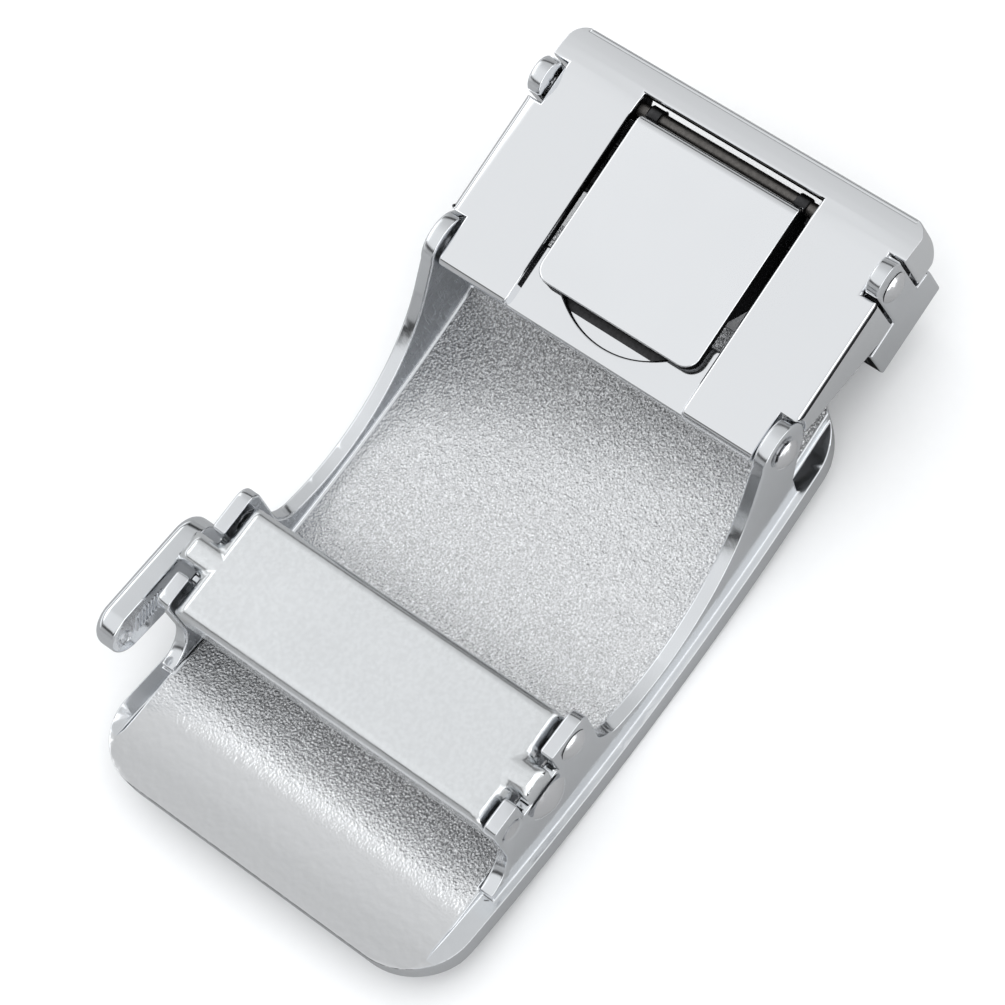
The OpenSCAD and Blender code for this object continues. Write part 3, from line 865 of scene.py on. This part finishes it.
class BUCKLE_OT_bar(bpy.types.Operator):
    """Finishes the release bar with its rounded top and its tabs"""
    bl_idname = "buckle.bar"
    bl_label = "Release bar"

    def execute(self, context):
        sizes = context.scene.buckle_sizes
        finish = context.scene.buckle_finish
        piece = copy_of("release_bar", "satin_release_bar")
        split_sides(piece, [BAR_PIVOT], Vector((1, 0, 0)))

        bevel_depth = 1.6 * MM
        inside_depth = 0.6 * MM
        inside_reach = 4.9 * MM

        def width_at(middle, one, two):
            if middle.z > BAR_HIGH.z - bevel_depth:
                return sizes.bar_round
            return sizes.edge

        # Painted shade: the bar's underside and its inside between the walls near the pivot go near-black.
        def finish_at(middle, normal):
            between_walls = abs(middle.y) < WALL_INSIDE - MM
            within = between_walls and abs(middle.x - BAR_PIVOT.x) < inside_reach
            return int(normal.z < -0.5 or (within and middle.z < BAR_HIGH.z - inside_depth))

        soften(piece, sizes.bar_round, width_at)
        coat(piece, [satin_bar(finish), painted_shade_inside(finish)], finish_at)
        smooth(piece)
        settle(piece, "release", ["release_bar"])
        return {"FINISHED"}


class BUCKLE_OT_lever(bpy.types.Operator):
    """Finishes the release lever with its rounded back, grip ribs and tip boss"""
    bl_idname = "buckle.lever"
    bl_label = "Release lever"

    def execute(self, context):
        sizes = context.scene.buckle_sizes
        finish = context.scene.buckle_finish
        piece = copy_of("release_lever", "polished_lever")
        split_sides(piece, [BAR_PIVOT], Vector((1, 0, 0)))

        bore_reach = 1.7 * MM
        bore_edge = 0.1 * MM

        def width_at(middle, one, two):
            across = Vector((middle.x - BAR_PIVOT.x, 0, middle.z - BAR_PIVOT.z)).length
            if across < bore_reach:
                return bore_edge
            if middle.y > LEVER_HIGH.y - 0.1 * MM:
                return sizes.lever_round
            return sizes.lug_round

        soften(piece, sizes.lever_round, width_at, 8, 0.64, slide=True)
        coat(piece, [lever_chrome(finish)])
        grip = self.grip(sizes, finish)
        whole = join([piece] + grip, "polished_lever")
        smooth(whole)
        settle(whole, "release", ["release_lever"])
        return {"FINISHED"}

    def grip(self, sizes, finish):
        """Short ribs across the inner face near the tip, and a small ring boss."""
        metal_here = lever_chrome(finish)
        rib_size = Vector((0.22, 0.24, 2.1)) * MM
        rib_lean = math.radians(14)
        rib_start = 0.6 * MM
        rib_sink = Vector((0, -0.07, 0.2)) * MM
        boss_radius, boss_height, boss_edge = 0.75 * MM, 0.4 * MM, 0.08 * MM
        boss_offset = 1.1 * MM
        boss_rise = Vector((0, 0.03, 0)) * MM
        tip = Vector((BAR_PIVOT.x - 8.9 * MM, LEVER_LOW.y, BAR_PIVOT.z + 1.7 * MM))
        back = Vector((BAR_PIVOT.x - tip.x, 0, BAR_PIVOT.z - tip.z)).normalized()
        made = []
        bpy.ops.mesh.primitive_cube_add(size=1)
        rib = start("grip_rib")
        rib.scale = rib_size
        bpy.ops.object.transform_apply(location=True, rotation=True, scale=True)
        pick_faces(rib, lambda middle, normal: normal.y < -0.9)
        bpy.ops.transform.resize(value=(0.45, 1, 0.86))
        bpy.ops.object.mode_set(mode="OBJECT")
        coat(rib, [metal_here])
        lean = math.atan2(back.z, back.x)
        for index in range(sizes.grip_ribs):
            copy = rib.copy()
            copy.data = rib.data.copy()
            bpy.context.scene.collection.objects.link(copy)
            at = tip + back * (rib_start + index * sizes.grip_pitch) + rib_sink
            place(copy, Matrix.Translation(at) @ Matrix.Rotation(-lean + rib_lean, 4, "Y"))
            made.append(copy)
        bpy.data.objects.remove(rib)
        bpy.ops.mesh.primitive_cylinder_add(vertices=32, radius=boss_radius, depth=boss_height)
        boss = start("tip_boss")
        pick_faces(boss, lambda middle, normal: normal.z > 0.9)
        bpy.ops.mesh.inset(thickness=0.22 * MM)
        bpy.ops.transform.translate(value=(0, 0, -0.18 * MM))
        bpy.ops.object.mode_set(mode="OBJECT")
        soften(boss, boss_edge, lambda middle, one, two: boss_edge)
        coat(boss, [metal_here])
        at = tip - back * boss_offset + boss_rise
        place(boss, Matrix.Translation(at) @ Matrix.Rotation(math.radians(90), 4, "X"))
        made.append(boss)
        return made


class BUCKLE_OT_clamp(bpy.types.Operator):
    """Finishes the strap clamp's cover and the jaw under it"""
    bl_idname = "buckle.clamp"
    bl_label = "Clamp cover and jaw"

    def execute(self, context):
        sizes = context.scene.buckle_sizes
        finish = context.scene.buckle_finish
        chrome = mirror_chrome(finish)
        # Heights over the clamp's pivot: the middle strip's top lies below the raised sides'
        strip_top = 0.9 * MM
        side_top = 0.96 * MM
        sheet_low = 0.4 * MM
        jaw_floor = -9.3 * MM
        # Places along the clamp, and half the thumb recess's width
        nose_end = -1.5 * MM
        recess_start = FLAP_NEAR - 0.8 * MM
        recess_half = 8 * MM
        bend_start, bend_end, past_bend = 3.4 * MM, 15 * MM, 0.4 * MM
        far_bend = 22 * MM

        def cover_width(middle, one, two):
            spot = in_clamp(middle)
            top = max(one.z, two.z) > 0.8 and spot.z > strip_top
            beside = max(abs(one.y), abs(two.y)) > 0.9 and abs(abs(spot.y) - OPENING_HALF) < 0.1 * MM
            if beside and (spot.z > side_top or spot.x < FLAP_NEAR):
                return sizes.opening_edge
            if beside:
                return 0.2 * sizes.edge
            if top and abs(spot.y) > WALL_INSIDE + MM and bend_start < spot.x < bend_end:
                return sizes.bend
            if top and abs(spot.y) < OPENING_HALF and spot.x < nose_end:
                return sizes.opening_edge
            if spot.z > sheet_low and spot.x < far_bend:
                return sizes.sheet_edge
            return sizes.edge

        def cover_finish(middle, normal):
            spot = in_clamp(middle)
            way = TO_CLAMP @ normal
            # Painted shade: the underside goes grey; the insides low in the sheet, the walls of the opening
            # and the recess floor under the flap's lip go near-black.
            if way.z < -0.5:
                return 2
            if abs(spot.y) < WALL_INSIDE and spot.z < 0.2 * MM and spot.x > 0:
                return 1
            in_opening = abs(spot.y) < OPENING_HALF + 0.05 * MM and spot.x > FLAP_NEAR
            if in_opening and way.z < 0.2:
                return 1
            in_recess = abs(spot.y) < recess_half and spot.z < sheet_low and way.z > 0.5
            if in_recess and spot.x > recess_start:
                return 1
            # Painted reflection: the lower, steep faces of the bends' rounding go near-black, as a dark
            # line between the cover and its flanges.
            steep = 0.08 < abs(way.z) < 0.5 and abs(way.y) > 0.8
            raised = abs(spot.y) > WALL_INSIDE + MM and spot.z > 0.8 * MM
            return int(steep and raised and bend_start - past_bend < spot.x < bend_end + past_bend)

        def in_recess_floor(middle, normal):
            spot = in_clamp(middle)
            return normal.z > 0.9 and abs(spot.z - STRIP_FLOOR) < 0.05 * MM and -MM < spot.x < 5 * MM

        def jaw_finish(middle, normal):
            spot = in_clamp(middle)
            way = TO_CLAMP @ normal
            # Painted shade: the jaw's inside faces go near-black.
            inside = abs(spot.y) < WALL_INSIDE - 0.6 * MM
            return int(inside and (way.z > 0.2 or spot.z > jaw_floor))

        jaw_rivet = middle_of("jaw_rivet_left")
        cover = copy_of("clamp_cover", "clamp_sheet")
        split_sides(cover, [CLAMP_PIVOT, jaw_rivet, middle_of("flap_pin")], CLAMP_WAY)
        cut_across(cover, in_recess_floor, CLAMP_PIVOT + CLAMP_WAY * recess_start, CLAMP_WAY)
        soften(cover, sizes.bend, cover_width, 3, 0.6, hollows=False)
        coat(cover, [chrome, painted_shade_inside(finish), shaded_underside(finish)], cover_finish)
        smooth(cover)
        settle(cover, "clamp", ["clamp_cover"])
        jaw = copy_of("clamp_jaw", "strap_jaw")
        split_sides(jaw, [jaw_rivet], CLAMP_WAY)
        soften(jaw, sizes.edge, lambda middle, one, two: sizes.edge)
        coat(jaw, [plated_casting(finish), painted_shade_inside(finish)], jaw_finish)
        smooth(jaw)
        settle(jaw, "clamp", ["clamp_jaw"])
        return {"FINISHED"}


class BUCKLE_OT_flap(bpy.types.Operator):
    """Finishes the locking flap in the cover's opening"""
    bl_idname = "buckle.flap"
    bl_label = "Locking flap"

    def execute(self, context):
        sizes = context.scene.buckle_sizes
        finish = context.scene.buckle_finish
        piece = copy_of("clamp_flap", "locking_flap")
        # Heights over the clamp's pivot
        rounded_above = 1.5 * MM
        bright_above = 1.2 * MM
        split_sides(piece, [middle_of("flap_pin")], CLAMP_WAY)

        def width_at(middle, one, two):
            return sizes.flap_edge if in_clamp(middle).z > rounded_above else sizes.edge

        def finish_at(middle, normal):
            spot = in_clamp(middle)
            way = TO_CLAMP @ normal
            # Painted shade: the flap's underside goes grey, and its sides and lower part near-black.
            if way.z < -0.3:
                return 2
            return int(way.z < 0.25 or spot.z < bright_above)

        soften(piece, sizes.flap_edge, width_at, 4)
        coat(piece, [flap_chrome(finish), painted_shade_inside(finish), shaded_underside(finish)], finish_at)
        smooth(piece)
        settle(piece, "flap", ["clamp_flap"])
        return {"FINISHED"}


class BUCKLE_OT_rivets(bpy.types.Operator):
    """Gives the rivets and pins their hammered plating, and the flap pin the painted shade of its gap"""
    bl_idname = "buckle.rivets"
    bl_label = "Rivets and pins"

    def execute(self, context):
        finish = context.scene.buckle_finish
        plating = rivet_metal(finish)
        pin_in_shade = shaded_flap_pin(finish)
        for name, node in frame["nodes"].items():
            if "rivet" in name or "pin" in name:
                node.data.materials.clear()
                # The flap pin takes the painted shade of its gap.
                node.data.materials.append(pin_in_shade if name == "flap_pin" else plating)
        return {"FINISHED"}


# Studio

class BUCKLE_OT_studio(bpy.types.Operator):
    """Sets up the pale table, the soft lights and the camera"""
    bl_idname = "buckle.studio"
    bl_label = "Studio"

    def execute(self, context):
        studio = context.scene.buckle_studio
        bpy.ops.mesh.primitive_plane_add(size=12.0, location=(0, 0, 0))
        table = start("table")
        coat(table, [pale_table(studio)])
        self.world(studio)
        self.light("soft_lamp", (0.05, -0.10, 0.60), (0.0, 0.0, 0.0), 0.6, studio.lamp)
        self.camera()
        return {"FINISHED"}

    def world(self, studio):
        """Pale overhead, darker towards the clamp's end and half-way down, with panels at the sides."""
        world = bpy.data.worlds.new("studio_walls")
        bpy.context.scene.world = world
        world.use_nodes = True
        tree = world.node_tree
        background = tree.nodes["Background"]
        background.inputs["Color"].default_value = (0.975, 0.988, 1.0, 1)
        way = tree.nodes.new("ShaderNodeTexCoord").outputs["Generated"]
        along, across, up = (axis_of(tree, way, axis) for axis in "XYZ")
        sky = spread(tree, fade(tree, up, 0.36, 0.5), studio.dark_band, studio.overhead)
        sky = product(tree, sky, spread(tree, fade(tree, along, -0.15, 0.8), 1.0, 0.7))
        horizon = product(tree, fade(tree, up, 0.3, 0.2), studio.horizon)
        above = fade(tree, up, -0.02, 0.1)
        below = fade(tree, up, 0.42, 0.3)
        panel = product(tree, fade(tree, across, -0.45, -0.8), above, below, studio.panel)
        far_panel = product(tree, fade(tree, across, 0.45, 0.8), above, below, studio.far_panel)
        glint = product(tree, fade(tree, up, 0.46, 0.56), fade(tree, across, 0.52, 0.62), studio.glint)
        brightness = sky
        for part in (horizon, panel, far_panel, glint):
            brightness = maths(tree, "ADD", brightness, part)
        tree.links.new(brightness, background.inputs["Strength"])

    def light(self, name, at, towards, size, power):
        """A soft square lamp that metal doesn't mirror."""
        data = bpy.data.lights.new(name, "AREA")
        data.shape = "SQUARE"
        data.size = size
        data.energy = power
        lamp = bpy.data.objects.new(name, data)
        bpy.context.scene.collection.objects.link(lamp)
        lamp.visible_glossy = False
        way = Vector(towards) - Vector(at)
        lamp.matrix_world = Matrix.Translation(at) @ way.to_track_quat("-Z", "Y").to_matrix().to_4x4()

    def camera(self):
        """The photo's view."""
        data = bpy.data.cameras.new("view")
        data.sensor_fit = "HORIZONTAL"
        data.angle = VIEW_ANGLE
        data.clip_start = 0.01
        camera = bpy.data.objects.new("view", data)
        bpy.context.scene.collection.objects.link(camera)
        back = (VIEW_AT - VIEW_TARGET).normalized()
        right = Vector((0, 0, 1)).cross(back).normalized()
        up = back.cross(right)
        turned_right = math.cos(VIEW_ROLL) * right + math.sin(VIEW_ROLL) * up
        turned_up = -math.sin(VIEW_ROLL) * right + math.cos(VIEW_ROLL) * up
        turn = Matrix((turned_right, turned_up, back)).transposed().to_4x4()
        camera.matrix_world = Matrix.Translation(VIEW_AT) @ turn
        bpy.context.scene.camera = camera
        bpy.context.scene.view_settings.view_transform = "Standard"


class BUCKLE_PT_panel(bpy.types.Panel):
    """Lists the buckle's pieces and their sizes"""
    bl_idname = "BUCKLE_PT_panel"
    bl_label = "Ratchet buckle"
    bl_space_type = "VIEW_3D"
    bl_region_type = "UI"
    bl_category = "Buckle"

    def draw(self, context):
        layout = self.layout
        scene = context.scene
        for group in (scene.buckle_sizes, scene.buckle_finish, scene.buckle_studio):
            box = layout.box()
            for name in group.__annotations__:
                box.prop(group, name)
        for operator in OPERATORS:
            layout.operator(operator.bl_idname)


GROUPS = (BuckleSizes, BuckleFinish, StudioSettings)
OPERATORS = (
    BUCKLE_OT_studio,
    BUCKLE_OT_plate,
    BUCKLE_OT_bar,
    BUCKLE_OT_lever,
    BUCKLE_OT_clamp,
    BUCKLE_OT_flap,
    BUCKLE_OT_rivets,
)


def register():
    for item in GROUPS + OPERATORS + (BUCKLE_PT_panel,):
        bpy.utils.register_class(item)
    bpy.types.Scene.buckle_sizes = bpy.props.PointerProperty(type=BuckleSizes)
    bpy.types.Scene.buckle_finish = bpy.props.PointerProperty(type=BuckleFinish)
    bpy.types.Scene.buckle_studio = bpy.props.PointerProperty(type=StudioSettings)


def unregister():
    del bpy.types.Scene.buckle_sizes
    del bpy.types.Scene.buckle_finish
    del bpy.types.Scene.buckle_studio
    for item in reversed(GROUPS + OPERATORS + (BUCKLE_PT_panel,)):
        bpy.utils.unregister_class(item)


def main():
    register()
    bpy.ops.buckle.studio()
    bpy.ops.buckle.plate()
    bpy.ops.buckle.bar()
    bpy.ops.buckle.lever()
    bpy.ops.buckle.clamp()
    bpy.ops.buckle.flap()
    bpy.ops.buckle.rivets()


if __name__ == "__main__":
    main()
